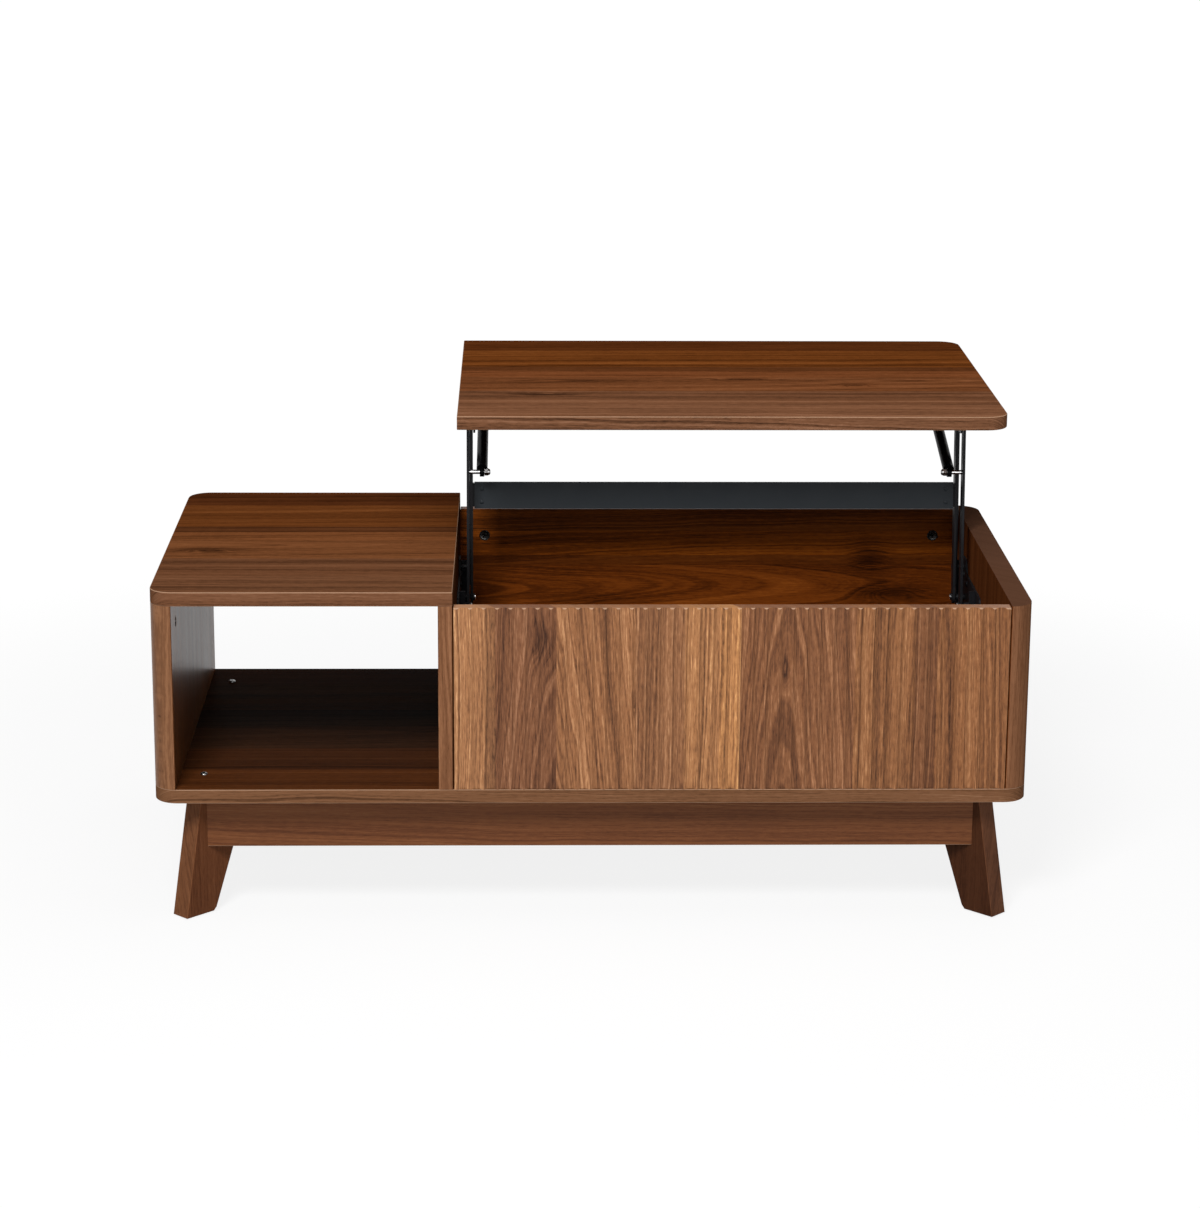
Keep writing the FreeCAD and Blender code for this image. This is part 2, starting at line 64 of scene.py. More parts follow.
# %% A socket that does arithmetic
class Value:
    """One output socket of a finish. Arithmetic on it adds Math nodes to that finish."""

    def __init__(self, finish, socket):
        self.finish = finish
        self.socket = socket

    def maths(self, operation, *others, **settings):
        sockets = dict(enumerate((self, *others)))
        return self.finish.node("ShaderNodeMath", {"operation": operation, **settings}, sockets)

    def __add__(self, other): return self.maths("ADD", other)
    def __radd__(self, other): return self.maths("ADD", other)
    def __sub__(self, other): return self.maths("SUBTRACT", other)
    def __rsub__(self, other): return -self + other
    def __mul__(self, other): return self.maths("MULTIPLY", other)
    def __rmul__(self, other): return self.maths("MULTIPLY", other)
    def __truediv__(self, other): return self.maths("DIVIDE", other)
    def __neg__(self): return self * -1.0
    def root(self): return self.maths("SQRT")
    def squared(self): return self.maths("POWER", 2.0)
    def clamped(self): return self.maths("ADD", 0.0, use_clamp=True)
    def at_least(self, other): return self.maths("MAXIMUM", other)

    def fade(self, start, end):
        """0 below start, 1 above end, and smooth between them."""
        settings = {"interpolation_type": "SMOOTHSTEP"}
        return self.finish.node("ShaderNodeMapRange", settings, {0: self, 1: start, 2: end, 3: 0.0, 4: 1.0})


print("a socket can be added, subtracted, multiplied and divided by", Value.__name__)


# %% A finish: one material and the nodes in it
class Finish:
    """A material with a Principled shader, and one way to add any node to it."""

    def __init__(self, name):
        self.material = bpy.data.materials.new(name)
        self.material.use_nodes = True
        self.tree = self.material.node_tree
        self.shader = self.tree.nodes["Principled BSDF"]

    def node(self, kind, settings=None, sockets=None, out=0):
        made = self.tree.nodes.new(kind)
        for name, value in (settings or {}).items():
            if name == "stops":
                self.lay_stops(made.color_ramp, value)
            elif name == "blend":
                made.color_ramp.interpolation = value
            else:
                setattr(made, name, value)
        for key, value in (sockets or {}).items():
            self.feed(made.inputs[key], value)
        return Value(self, made.outputs[out])

    def feed(self, socket, value):
        if isinstance(value, Value):
            self.tree.links.new(value.socket, socket)
        else:
            socket.default_value = value

    def lay_stops(self, ramp, stops):
        while len(ramp.elements) < len(stops):
            ramp.elements.new(1.0)
        for element, (place, colour) in zip(ramp.elements, stops):
            element.position = place
            element.color = (*colour, 1.0)

    def set(self, **values):
        """Feeds the shader's own sockets, named with _ for a space."""
        for name, value in values.items():
            self.feed(self.shader.inputs[name.replace("_", " ")], value)
        return self.material

    def place(self):
        return self.node("ShaderNodeTexCoord", out="Object")

    def along(self, point, direction):
        """How far a point lies along a direction."""
        return self.node("ShaderNodeVectorMath", {"operation": "DOT_PRODUCT"}, {0: point, 1: direction}, out="Value")

    def vector(self, x, y, z):
        return self.node("ShaderNodeCombineXYZ", None, {0: x, 1: y, 2: z})

    def noise(self, where, scale=1.0, detail=2.0, roughness=0.5):
        """Noise at a point, or along a line where the place is a single value."""
        line = where.socket.type == "VALUE"
        settings = {"noise_dimensions": "1D" if line else "3D"}
        sockets = {"W" if line else "Vector": where, "Scale": scale, "Detail": detail, "Roughness": roughness}
        return self.node("ShaderNodeTexNoise", settings, sockets)

    def mix(self, factor, low, high, blend="MIX"):
        settings = {"data_type": "RGBA", "blend_type": blend, "clamp_factor": True}
        return self.node("ShaderNodeMix", settings, {0: factor, 6: low, 7: high}, out=2)

    def bump(self, height, strength, distance):
        return self.node("ShaderNodeBump", None, {"Height": height, "Strength": strength, "Distance": distance})


def rgb(colour):
    return (*colour, 1.0)


def dress(material, *names):
    """Gives frame pieces a finish through their own material slots."""
    for name in names:
        for slot in nodes[name].material_slots:
            slot.material = material


print("finishes are built with", Finish.node.__name__)

# %% [markdown]
# ## Walnut laminate
# Every board wears a printed walnut: flat-sawn staves beside quarter-sawn ones, each with its own tint, all under
# one satin lacquer. Growth rings are near-cylinders, so a stave is drawn from the distance to its heart line. Near
# that line the rings close in arches, and far from it they run straight, which is what a sawmill gives. A picture of
# wood would be simpler, but it stretches at edges, while a pattern in space wraps every edge and corner by itself.

# %% Staves of a board
def stave(start, heart, tint=(1.0, 1.0, 1.0), slope=0.02):
    """One strip of a board: where it starts, its heart line, its tint, and how fast its rings taper along it."""
    return {"from": start, "heart": heart, "tint": tint, "slope": slope}


def shaded(staves, shades):
    """The same staves, each with its tint multiplied by a shade."""
    return [dict(s, tint=tuple(t * k for t, k in zip(s["tint"], shade))) for s, shade in zip(staves, shades)]


def stave_lookup(wood, across, staves, span):
    """The tint of the stave that a place lies in, its heart line, and how fast its rings taper. A colour ramp holds
    nothing below 0, so heart lines are packed from -1...1 into its red, and tapers from -0.5...0.5 into its green."""
    start, end = span
    share = (across - start) / (end - start)
    places = [max(0.0, (s["from"] - start) / (end - start)) for s in staves]
    tints = [(p, s["tint"]) for p, s in zip(places, staves)]
    hearts = [(p, ((s["heart"] + 1.0) / 2.0, s["slope"] + 0.5, 0.0)) for p, s in zip(places, staves)]
    tint = wood.node("ShaderNodeValToRGB", {"stops": tints, "blend": "CONSTANT"}, {0: share})
    packed = wood.node("ShaderNodeValToRGB", {"stops": hearts, "blend": "CONSTANT"}, {0: share})
    heart = wood.node("ShaderNodeSeparateColor", None, {0: packed}, out="Red")
    slope = wood.node("ShaderNodeSeparateColor", None, {0: packed}, out="Green")
    return tint, heart * 2.0 - 1.0, slope - 0.5


print("a plain stave is", stave(0.0, 0.1))


# %% Layers of the grain
sway_reach, shiver_reach = 0.030, 0.004                         # how far the rings wander, slowly and quickly
broad_scale, growth_scale, strand_scale = 42.0, 270.0, 250.0    # how fast each layer changes from ring to ring
pore_depth, knot_depth, painted_shadow_depth = 0.16, 0.34, 0.28          # how far each lowers the tone; a cloud stands for painted shade


def knots_in(along, across, knots):
    """Dark eyes in the grain: how strong they are at a place, summed over the board's knots."""
    total = None
    for k_along, k_across, length, width in knots:
        near = ((along - k_along) / length).squared() + ((across - k_across) / width).squared()
        eye = (-near).maths("EXPONENT")
        total = eye if total is None else total + eye
    return total


def layers(wood, along, across, rings, weights, seed):
    """The figure of the grain around 0, and the haze, the fibre and the pores that the lacquer shows again. Each
    layer is noise that changes slowly along the board and fast across it, as its factors on along and across say."""
    broad = wood.noise(rings * broad_scale + seed, detail=1.0) - 0.5
    growth = wood.noise(rings * growth_scale + seed, detail=3.0, roughness=0.65) - 0.5
    haze = wood.noise(wood.vector(along * 3.0, across * 20.0, seed + 3.0), detail=3.0) - 0.5
    strand = across * 900.0 + rings * strand_scale
    fibre = wood.noise(wood.vector(along * 16.0, strand, seed), detail=3.0, roughness=0.7) - 0.5
    speckle = wood.noise(wood.vector(along * 75.0, across * 460.0 + seed, seed), detail=2.0, roughness=0.6) - 0.5
    fleck = wood.noise(wood.vector(along * 110.0, across * 1700.0, seed + 9.0), detail=1.0)
    pores = fleck.fade(0.60, 0.72)
    figure = pores * -pore_depth
    for pattern, weight in zip((broad, growth, haze, fibre, speckle), weights):
        figure = figure + pattern * weight
    return figure, haze, fibre, pores


print("a knot lowers the tone by", knot_depth, "and a cloud by", painted_shadow_depth)


# %% One recipe for every board
cut_edge_and_highlight = (0.40, 0.25, 0.16)    # bare banding where a level edge was trimmed to a bevel, and a painted highlight along it
bevel_wear_and_highlight = 0.75                # how much of that colour the bevels show, as bare banding and as painted highlight
band_calm = 0.75                 # how much of its figure the banding over the end grain loses


def walnut(name, along_dir, across_dir, staves, span, tones, knots=(), painted_shadows=(), home=(0, 0, 0), blunt=0.012,
           weights=(0.60, 0.85, 0.50, 0.75, 0.45), whirl=0.018, roughness=0.42, specular=0.1, seed=0.0,
           facing=(0, 0, 1), faced=(1, 1, 1), rest=(1, 1, 1), band=(1, 1, 1)):
    """Walnut with its grain along one direction, from the darkest fibre to the palest in tones. weights says how much
    the broad rings, the fine rings, the haze, the fibre and the speckle show. Rings bend round knots by whirl, and
    clouds, given as knots are, are broad darker places that paint shade. blunt rounds the arches over a heart line.
    The faces that look along facing are tinted by faced, and the others by rest, which some boards use to paint light
    and shade. band tints the banding that covers the end grain, and on one board paints shade too."""
    wood = Finish(name)
    spot = wood.node("ShaderNodeVectorMath", {"operation": "SUBTRACT"}, {0: wood.place(), 1: home})
    along = wood.along(spot, along_dir)
    across = wood.along(spot, across_dir)
    tint, heart, slope = stave_lookup(wood, across, staves, span)

    sway = wood.noise(wood.vector(along * 2.4 + seed, across * 9.0, seed), detail=2.0) - 0.5
    shiver = wood.noise(wood.vector(along * 9.0, across * 60.0 + seed, seed), detail=2.0) - 0.5
    offset = across - heart + sway * sway_reach + shiver * shiver_reach
    rings = (offset * offset + blunt * blunt).root() + along * slope
    eyes = knots_in(along, across, knots)
    if knots:
        rings = rings + eyes * whirl
    figure, haze, fibre, pores = layers(wood, along, across, rings, weights, seed)
    if knots:
        figure = figure - eyes * knot_depth
    if painted_shadows:
        figure = figure - knots_in(along, across, painted_shadows) * painted_shadow_depth

    normal = wood.node("ShaderNodeNewGeometry", out="Normal")
    banded = wood.along(normal, along_dir).squared().fade(0.50, 0.80)
    tone = 0.5 + figure * (1.0 - banded * band_calm)
    colour = wood.node("ShaderNodeValToRGB", {"stops": tones, "blend": "EASE"}, {0: tone.clamped()})
    face_tint = wood.mix(wood.along(normal, facing).fade(0.30, 0.70), rgb(rest), rgb(faced))
    colour = wood.mix(1.0, wood.mix(1.0, colour, tint, "MULTIPLY"), face_tint, "MULTIPLY")
    colour = wood.mix(banded, colour, rgb(band), "MULTIPLY")
    tilt = wood.along(normal, (0, 0, 1)).squared()    # 0 on an upright face, 0.5 on a bevel, 1 on a level face
    bevel = tilt.fade(0.30, 0.42) * (1.0 - tilt.fade(0.58, 0.70))
    # Bevels take the cut edge colour: bare banding, and a painted highlight along each eased edge and on the flute
    # crests.
    colour = wood.mix(bevel * bevel_wear_and_highlight, colour, rgb(cut_edge_and_highlight))
    relief = wood.bump(-pores + fibre * 0.5, 0.16, 0.0004)
    satin = roughness + haze * 0.10 + pores * 0.12
    return wood.set(Base_Color=colour, Roughness=satin, Specular_IOR_Level=specular, Normal=relief)


print("bevels show", round(bevel_wear_and_highlight * 100), "% of the cut edge")

# %% Tones, from the darkest fibre to the palest
top_tones = [(0.0, (0.028, 0.010, 0.004)), (0.30, (0.085, 0.030, 0.011)), (0.55, (0.150, 0.054, 0.020)),
             (1.0, (0.245, 0.100, 0.042))]
front_tones = [(0.0, (0.048, 0.020, 0.010)), (0.30, (0.145, 0.061, 0.028)), (0.55, (0.245, 0.108, 0.048)),
               (1.0, (0.470, 0.245, 0.125))]
upright_tones = [(0.0, (0.060, 0.022, 0.011)), (0.30, (0.122, 0.048, 0.023)), (0.55, (0.180, 0.075, 0.037)),
                 (1.0, (0.280, 0.128, 0.066))]
print("tones for tops, fluted front and uprights:", len(top_tones), len(front_tones), len(upright_tones))

# %% [markdown]
# ## The tops
# The fixed top, the lift top and the bottom panel show their grain along the table. Their front staves are greyer and
# the back ones darker and redder, over each stave's own tint: painted sheen at the front of a top and painted shade
# towards its back. When the lift top comes down its staves must line up with its neighbour's, so they are laid out at
# its closed place: home is how far the piece stands from there. The boards' rims are banded with the same print, a
# little greyer. One list of staves could serve all three boards as it is, but each board's painted light differs, so
# the list is multiplied by shades: more light on the raised lift top, and on the bottom panel the shadow in the cubby
# with a grey reflection at its back.

# %% Staves of the three level boards
fixed_low, fixed_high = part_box("fixed_top")
lift_low, lift_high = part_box("lift_top")
floor_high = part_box("bottom_panel")[1]
fixed_home = (0.0, 0.0, fixed_high.z)
lift_home = (0.0, lift_low.y - fixed_low.y, lift_high.z)
floor_home = (0.0, 0.0, floor_high.z)
spare = 0.03    # the staves reach past the edges, for the rims
depth_span = (fixed_low.y - spare, fixed_high.y + spare)
# The greyer front tints and darker back tints paint a top's sheen at its front and its shade at its back.
top_staves = [
    stave(-0.40, -0.60, (1.00, 1.13, 1.38), 0.01),
    stave(-0.191, -0.42, (0.90, 0.97, 1.13), 0.01),
    stave(-0.104, -0.030, (1.16, 1.13, 1.06), 0.05),
    stave(-0.007, 0.110, (1.20, 1.12, 0.98), 0.03),
    stave(0.040, 0.42, (0.66, 0.60, 0.54), 0.01),
    stave(0.070, 0.30, (0.87, 0.72, 0.47), 0.02),
    stave(0.194, 0.60, (0.55, 0.43, 0.33), 0.01),
]
# The floor's shades paint the shadow in the cubby, darkest in its middle, and a grey reflection at its back.
floor_painted_shadow_and_reflection = [(1.14, 0.95, 0.58), (0.80, 0.74, 0.58), (0.43, 0.54, 0.68), (0.30, 0.47, 0.80), (0.44, 0.66, 1.00),
                (0.62, 0.86, 1.18), (0.72, 0.92, 1.20)]
# The lift's shades paint light and sheen on the raised top's front, and shade in its middle.
lift_painted_light_and_shade = [(1.08, 1.11, 1.19), (1.05, 1.09, 1.17), (0.82, 0.78, 0.78), (0.84, 0.78, 0.77), (0.96, 0.92, 0.84),
               (1.02, 0.98, 0.84), (1.02, 0.98, 0.84)]
floor_staves = shaded(top_staves, floor_painted_shadow_and_reflection)
lift_staves = shaded(top_staves, lift_painted_light_and_shade)
print("lift top's pattern is laid out from", [round(v, 4) for v in lift_home])

# %% Fixed top, lift top and bottom panel
fixed_walnut = walnut("fixed top walnut", (1, 0, 0), (0, 1, 1), top_staves, depth_span, top_tones,
                      knots=[(-0.495, -0.056, 0.040, 0.012)], home=fixed_home, specular=0.0, roughness=0.55,
                      seed=2.0, rest=(0.95, 0.99, 1.07))
# The lift top's upward faces and rims are tinted lighter than the fixed top's: painted light on the raised board.
lift_walnut = walnut("lift top walnut", (1, 0, 0), (0, 1, 1), lift_staves, depth_span, top_tones,
                     knots=[(-0.055, -0.1265, 0.045, 0.012), (0.218, -0.0208, 0.042, 0.008),
                            (0.367, -0.0579, 0.026, 0.011)],
                     home=lift_home, weights=(0.75, 1.10, 0.60, 0.95, 0.60), specular=0.0, roughness=0.55, seed=5.0,
                     faced=(1.16, 1.15, 1.12), rest=(1.06, 1.10, 1.12))
# The bottom panel's upper face is tinted darker than its rims: painted shade inside the cabinet.
floor_walnut = walnut("bottom panel walnut", (1, 0, 0), (0, 1, 1), floor_staves, depth_span, top_tones,
                      home=floor_home, specular=0.001, roughness=0.45, seed=8.0, faced=(0.50, 0.44, 0.42),
                      rest=(0.93, 1.25, 2.18))
dress(fixed_walnut, "fixed_top")
dress(lift_walnut, "lift_top")
dress(floor_walnut, "bottom_panel")
print("staves in each level board:", len(top_staves))

# %% [markdown]
# ## Uprights
# The side panels and the partition have their grain standing. Their front edges are banded with the same print. The
# inner faces, and the edge that looks up on top of the right side panel, are tinted darker than the fronts: painted
# shade inside the cubby and the compartment, and under the raised lid. The left panel's gloss is the liveliest,
# because its inner face mirrors the room through the open cubby.

# %% Side panels and partition
side_staves = [stave(-0.90, -0.95), stave(-0.16, -0.30, (1.04, 1.02, 1.00)), stave(0.10, 0.55, (0.95, 0.94, 0.92)),
               stave(0.40, 0.80)]
# faced paints shade on each board's inner face, and band paints it on the right panel's top edge.
for name, gloss, tint, seed, inward, faced, band in (
        ("side_panel_left", 0.055, (1.28, 1.41, 1.36), 14.0, (1, 0, 0), (0.60, 0.48, 0.24), (1.0, 1.0, 1.0)),
        ("side_panel_right", 0.0, (1.17, 1.26, 1.28), 17.0, (-1, 0, 0), (0.76, 0.54, 0.32), (0.48, 0.49, 0.56)),
        ("partition", 0.0, (1.26, 1.36, 1.34), 19.0, (1, 0, 0), (0.60, 0.50, 0.36), (1.0, 1.0, 1.0))):
    dress(walnut(name.replace("_", " ") + " walnut", (0, 0, 1), (0.9, 1, 0), side_staves, (-0.9, 0.9),
                 upright_tones, roughness=0.32, specular=gloss, seed=seed, facing=inward,
                 faced=faced, rest=tint, band=band), name)
    print(name, "dressed, gloss", gloss)

# %% [markdown]
# ## The fluted front
# The front panel is the palest board: staves about a hand wide, some with arches and some straight, and flutes that
# catch the light on their crests. The flutes are real shape in the frame, so the finish brings the print, and a
# painted highlight on the bevels at the crests' tops.

# %% Fluted front panel
front_low, front_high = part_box("front_panel")
front_staves = [
    stave(-0.20, -0.42, (1.38, 1.42, 1.34), 0.01),
    stave(-0.1213, -0.045, (0.74, 0.68, 0.68), 0.08),
    stave(-0.0451, -0.075, (1.09, 1.06, 0.98), 0.08),
    stave(0.0520, 0.240, (0.98, 0.96, 0.92), 0.02),
    stave(0.1137, 0.600, (1.38, 1.40, 1.25), 0.01),
    stave(0.1600, 0.700, (1.72, 1.76, 1.46), 0.01),
    stave(0.1838, 0.242, (0.82, 0.75, 0.70), 0.06),
    stave(0.3295, 0.700, (0.98, 0.92, 0.80), 0.02),
    stave(0.4010, 0.800, (0.70, 0.63, 0.58), 0.01),
    stave(0.4300, 0.340, (0.95, 0.87, 0.74), 0.05),
]
front_walnut = walnut("fluted front walnut", (0, 0, 1), (1, 0.6, 0), front_staves, (-0.37, 0.53), front_tones,
                      knots=[(0.372, -0.0616, 0.030, 0.016), (0.335, 0.2424, 0.020, 0.004),
                             (0.294, 0.0524, 0.020, 0.003)],
                      home=(0.0, front_low.y, 0.0), blunt=0.030, weights=(0.50, 1.05, 0.45, 1.05, 0.75),
                      whirl=0.006, roughness=0.40, specular=0.15, seed=21.0)
dress(front_walnut, "front_panel")
print("staves in the fluted front:", len(front_staves))

# %% [markdown]
# ## Back panel, aprons and legs
# The back panel lies along the table, deep and reddish, with broad arches low down and quiet streaks above. Its top
# stave and two broad places, one at its left end, are darker: painted shadow of the raised lid. The aprons are quiet,
# and the legs' grain runs down them. A leg's narrow outer edge is paler than its broad faces, and the left legs are
# paler than the right ones: painted light from the left, and painted shade on the broad faces under the cabinet.

# %% Back panel and aprons
# The lowest stave is paler and the top one darker than the rest: painted light low down and painted shade under the
# raised lid, over the staves' own tints.
back_staves = [stave(0.0, 0.14, (1.30, 1.06, 0.63), 0.05), stave(0.255, 0.292, (1.14, 0.88, 0.50), 0.06),
               stave(0.322, 0.60, (0.76, 0.60, 0.38), 0.03), stave(0.337, 0.70, (1.50, 1.20, 0.52), 0.03),
               stave(0.371, 0.80, (1.00, 0.84, 0.50), 0.02)]
back_tones = [(0.0, (0.024, 0.007, 0.002)), (0.30, (0.085, 0.024, 0.005)), (0.55, (0.155, 0.046, 0.009)),
              (1.0, (0.290, 0.100, 0.022))]
# Its clouds are painted shadow of the raised lid, one at the panel's left end.
back_walnut = walnut("back panel walnut", (1, 0, 0), (0, 0.8, 1), back_staves, (0.0, 0.9), back_tones,
                     knots=[(0.400, 0.335, 0.026, 0.022), (0.430, 0.283, 0.055, 0.012)],
                     painted_shadows=[(-0.085, 0.328, 0.135, 0.032), (0.000, 0.276, 0.110, 0.012)],
                     home=(0.0, fixed_high.y, 0.0), blunt=0.025, whirl=0.010, roughness=0.36, specular=0.05,
                     seed=31.0)
dress(back_walnut, "back_panel")
apron_tones = [(0.0, (0.050, 0.016, 0.006)), (0.30, (0.100, 0.033, 0.012)), (0.55, (0.142, 0.050, 0.018)),
               (1.0, (0.215, 0.090, 0.036))]
apron_staves = [stave(0.0, -0.4)]
long_apron_walnut = walnut("long apron walnut", (1, 0, 0), (0, 0.7, 1), apron_staves, (0.0, 0.5), apron_tones,
                           specular=0.12, seed=41.0)
short_apron_walnut = walnut("short apron walnut", (0, 1, 0), (0.7, 0, 1), apron_staves, (0.0, 0.5), apron_tones,
                            specular=0.12, seed=43.0)
dress(long_apron_walnut, "apron_front", "apron_back")
dress(short_apron_walnut, "apron_left", "apron_right")
print("staves in the back panel:", len(back_staves))

# %% Legs
leg_staves = [stave(-0.8, -0.9)]
# Each leg's narrow outer edge takes faced and its broad faces take rest. The left legs are tinted paler than the
# right ones, painted light from the left, and the broad faces darker than the edges, painted shade under the cabinet.
for name, side, faced, tint in (("left", 1.0, (0.86, 0.80, 0.68), (0.60, 0.50, 0.40)),
                                ("right", -1.0, (0.62, 0.58, 0.55), (0.27, 0.22, 0.18))):
    for end, way in (("front", -1.0), ("back", 1.0)):
        dress(walnut(f"{end} {name} leg walnut", (0, 0, 1), (1.0, side * way * -0.4, 0.0), leg_staves, (-0.8, 0.8),
                     upright_tones, weights=(0.35, 0.50, 0.40, 0.80, 0.60), specular=0.04, seed=51.0,
                     facing=(-side * 0.7, way * 0.7, 0.0), faced=faced, rest=tint), f"leg_{end}_{name}")
print("legs dressed:", sum(name.startswith("leg_") and name != "leg_glides" for name in nodes))

# %% [markdown]
# ## Hidden wood, metal and plastic
# The corner blocks are bare beech, the glides brown plastic. The linkage is powder-coated steel: nearly black, with
# the fine pebbled skin that a baked powder leaves. The gas tubes' enamel is the deepest black. Zinc plate is bright,
# with a faint cloudiness. On the cams and the leg bolts it is tinted far darker, which paints the shade of the
# pockets and corners they sit in. A mirror-bright metal would look too new, so its roughness wanders.

# %% Bare wood and plastic
beech = Finish("bare beech")
beech_spot = beech.place()
beech_fibre = beech.noise(beech.node("ShaderNodeMapping", None, {0: beech_spot, 3: (30.0, 420.0, 12.0)}), detail=3.0)
beech_tones = [(0.25, (0.40, 0.25, 0.13)), (0.75, (0.62, 0.44, 0.26))]
beech.set(Base_Color=beech.node("ShaderNodeValToRGB", {"stops": beech_tones}, {0: beech_fibre}),
          Roughness=0.62 + (beech_fibre - 0.5) * 0.2)
dress(beech.material, "apron_blocks")

plastic = Finish("glide plastic")
grain = plastic.noise(plastic.place(), scale=900.0, detail=2.0)
plastic.set(Base_Color=plastic.mix(grain, rgb((0.030, 0.020, 0.014)), rgb((0.055, 0.038, 0.028))),
            Roughness=0.5 + (grain - 0.5) * 0.3, Normal=plastic.bump(grain, 0.15, 0.0003))
dress(plastic.material, "leg_glides")
print("corner blocks are", beech.material.name, "and glides", plastic.material.name)


# %% Powder coat, zinc plate and steel
def powder_coat(name, dark, pale, roughness, specular):
    """A baked powder or enamel that wanders between two tones, rubbed smoother in places, with a pebbled skin."""
    coat = Finish(name)
    spot = coat.place()
    pebble = coat.noise(spot, scale=1400.0, detail=2.0)
    rub = coat.noise(spot, scale=38.0, detail=4.0, roughness=0.6)
    return coat.set(Base_Color=coat.mix(rub, rgb(dark), rgb(pale)), Roughness=roughness + (rub - 0.5) * 0.25,
                    Specular_IOR_Level=specular, Normal=coat.bump(pebble, 0.22, 0.0002))


def plated(name, dark, pale, roughness):
    """Zinc plate or bare steel that wanders between two tones, cloudy and finely scratched."""
    plate = Finish(name)
    spot = plate.place()
    cloud = plate.noise(spot, scale=260.0, detail=4.0, roughness=0.6)
    scratch = plate.noise(plate.node("ShaderNodeMapping", None, {0: spot, 3: (90.0, 1400.0, 1400.0)}), detail=2.0)
    return plate.set(Base_Color=plate.mix(cloud, rgb(dark), rgb(pale)), Metallic=1.0,
                     Roughness=roughness + (cloud - 0.5) * 0.3, Normal=plate.bump(scratch, 0.05, 0.0001))


linkage_black = powder_coat("linkage black", (0.005, 0.005, 0.006), (0.013, 0.013, 0.015), 0.46, 0.12)
plate_black = powder_coat("cross plate blue black", (0.017, 0.021, 0.025), (0.024, 0.029, 0.034), 0.55, 0.20)
tube_black = powder_coat("gas tube enamel", (0.002, 0.002, 0.003), (0.005, 0.005, 0.006), 0.34, 0.03)
zinc = plated("bright zinc", (0.52, 0.52, 0.53), (0.80, 0.80, 0.79), 0.27)
# The cam discs and leg bolts are tinted far darker than bright zinc: painted shade of where they sit.
cam_zinc_with_painted_shade = plated("dull cast zinc", (0.030, 0.030, 0.031), (0.150, 0.150, 0.146), 0.26)
bolt_zinc_with_painted_shade = plated("bolt zinc with painted shade", (0.16, 0.16, 0.16), (0.34, 0.34, 0.33), 0.30)
rod_steel = plated("rod steel", (0.40, 0.40, 0.42), (0.60, 0.60, 0.62), 0.20)
bars = [name for name in nodes if name.startswith(("rear_arm", "front_arm", "base_bracket", "top_rail"))]
bars += ["plate_cleats", "low_pivots", "high_pivots"]
dress(linkage_black, *bars)
dress(plate_black, "cross_plate")
dress(tube_black, "gas_tube_left", "gas_tube_right")
dress(zinc, "gas_pin_left", "gas_pin_right")
dress(rod_steel, "gas_rod_left", "gas_rod_right")
dress(cam_zinc_with_painted_shade, "cam_locks")
print("powder-coated pieces:", len(bars))

# %% [markdown]
# ## Small fasteners
# Flat-packed furniture is held by cams, bolts and screws, and their heads are what a close look finds first. Each
# head is one closed shell: a round foot is drawn up and in, step by step, like a turned profile, and its top is
# joined to the outline of a driver recess, which is then pushed in. A Boolean cut would do the same with a worse
# mesh, and a texture of a cross would stay flat.

# %% A driver recess
slim = 0.5    # a cross's arms are half as wide as the thirds of the square it is cut from


def ring_of(verts):
    """The edges between the given vertices. A dict keeps them in the order in which they are met, which a set would
    not, so that every run takes the same steps."""
    inside = set(verts)
    return list(dict.fromkeys(e for v in verts for e in v.link_edges if e.other_vert(v) in inside))


def faces_of(verts):
    """The faces that touch the given vertices, in the order in which they are met."""
    return list(dict.fromkeys(f for v in verts for f in v.link_faces))


def recess_faces(bm, kind, size, height):
    """A flat cross or hexagon at a height, ready to be pushed in."""
    if kind == "hexagon":
        corners = bmesh.ops.create_circle(bm, cap_ends=True, segments=6, radius=size)["verts"]
    else:
        corners = bmesh.ops.create_grid(bm, x_segments=3, y_segments=3, size=size)["verts"]
        for vert in corners:
            vert.co.x *= slim if abs(vert.co.x) < size / 2.0 else 1.0
            vert.co.y *= slim if abs(vert.co.y) < size / 2.0 else 1.0
        middles = {f: f.calc_center_median() for f in faces_of(corners)}
        outer = [f for f, middle in middles.items() if min(abs(middle.x), abs(middle.y)) > size / 3.0]
        bmesh.ops.delete(bm, geom=outer, context="FACES")
        corners = [v for v in corners if v.is_valid]
    bmesh.ops.translate(bm, verts=corners, vec=(0.0, 0.0, height))
    return faces_of(corners)


print("recesses can be a cross or a hexagon")


